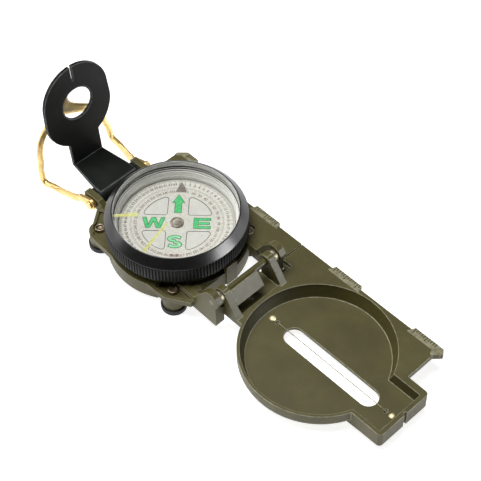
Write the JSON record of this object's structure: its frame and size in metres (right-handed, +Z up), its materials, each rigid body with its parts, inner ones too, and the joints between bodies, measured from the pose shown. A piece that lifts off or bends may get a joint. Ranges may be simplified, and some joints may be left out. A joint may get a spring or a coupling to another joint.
{
  "type": "folding sighting compass",
  "caption": "Folding lensatic compass, open: round liquid-capsule dial with knurled bezel, slotted sighting cover with straight edge, folding lens bracket and wire thumb loop.",
  "frame": {"origin": "centre of the open compass's footprint, on the ground under its feet", "axes": "+X along the straight edge towards the cover's tongue, +Y towards the straight edge, +Z up out of the dial"},
  "size_m": [0.1668, 0.0555, 0.0536],
  "materials": {
    "olive_body": "satin olive enamel",
    "black_paint": "matte black enamel",
    "black_bezel": "satin",
    "white_capsule": "translucent white",
    "dial_card": "matte, printed",
    "clear_glass": "clear",
    "luminous": "luminous paint",
    "brass": "polished",
    "steel": "bright",
    "dark_screw": "dulled",
    "rubber": "matte",
    "gasket": "matte",
    "magnet": "dull",
    "jewel": "satin"
  },
  "bodies": {
    "base": {"base_frame": "olive_body", "bottom_cover": "olive_body", "cover_screws": "steel", "foot_pads": "rubber", "foot_screws": "dark_screw", "capsule_bowl": "white_capsule", "capsule_gasket": "gasket", "capsule_window": "clear_glass", "pivot_post": "brass", "bezel_spring": "steel", "lid_hinge_pin": "steel", "hinge_washers": "steel", "hinge_sleeve": "olive_body", "rear_hinge_pin": "brass"},
    "bezel": {"bezel_ring": "black_bezel", "bezel_glass": "clear_glass", "glass_retainer": "black_bezel", "long_luminous_line": "luminous", "short_luminous_line": "luminous"},
    "card": {"compass_card": "dial_card", "card_magnet": "magnet", "jewel_cap": "jewel"},
    "lid": {"lid_cover": "olive_body", "sighting_wire": "steel", "wire_rivets": "brass"},
    "eyepiece": {"eyepiece_bracket": "black_paint", "magnifier_lens": "clear_glass", "lens_ring": "black_paint"},
    "loop": {"thumb_loop": "brass"}
  },
  "joints": [
    {"name": "lid_hinge", "type": "hinge", "parent": "base", "child": "lid", "pos_m": [0.01175, -0.00065, 0.016], "axis": [0, -1, 0], "range_deg": [0, 180]},
    {"name": "eyepiece_hinge", "type": "hinge", "parent": "base", "child": "eyepiece", "pos_m": [-0.0542, -0.00065, 0.0092], "axis": [0, 1, 0], "range_deg": [0, 95]},
    {"name": "thumb_loop_pivot", "type": "hinge", "parent": "base", "child": "loop", "pos_m": [-0.0542, -0.00065, 0.0092], "axis": [0, 1, 0], "range_deg": [-90, 8]},
    {"name": "bezel_turn", "type": "hinge", "parent": "base", "child": "bezel", "pos_m": [-0.0226, -0.00065, 0.0096], "axis": [0, 0, 1], "continuous": true},
    {"name": "card_swing", "type": "hinge", "parent": "base", "child": "card", "pos_m": [-0.0226, -0.00065, 0.0096], "axis": [0, 0, 1], "continuous": true}
  ]
}
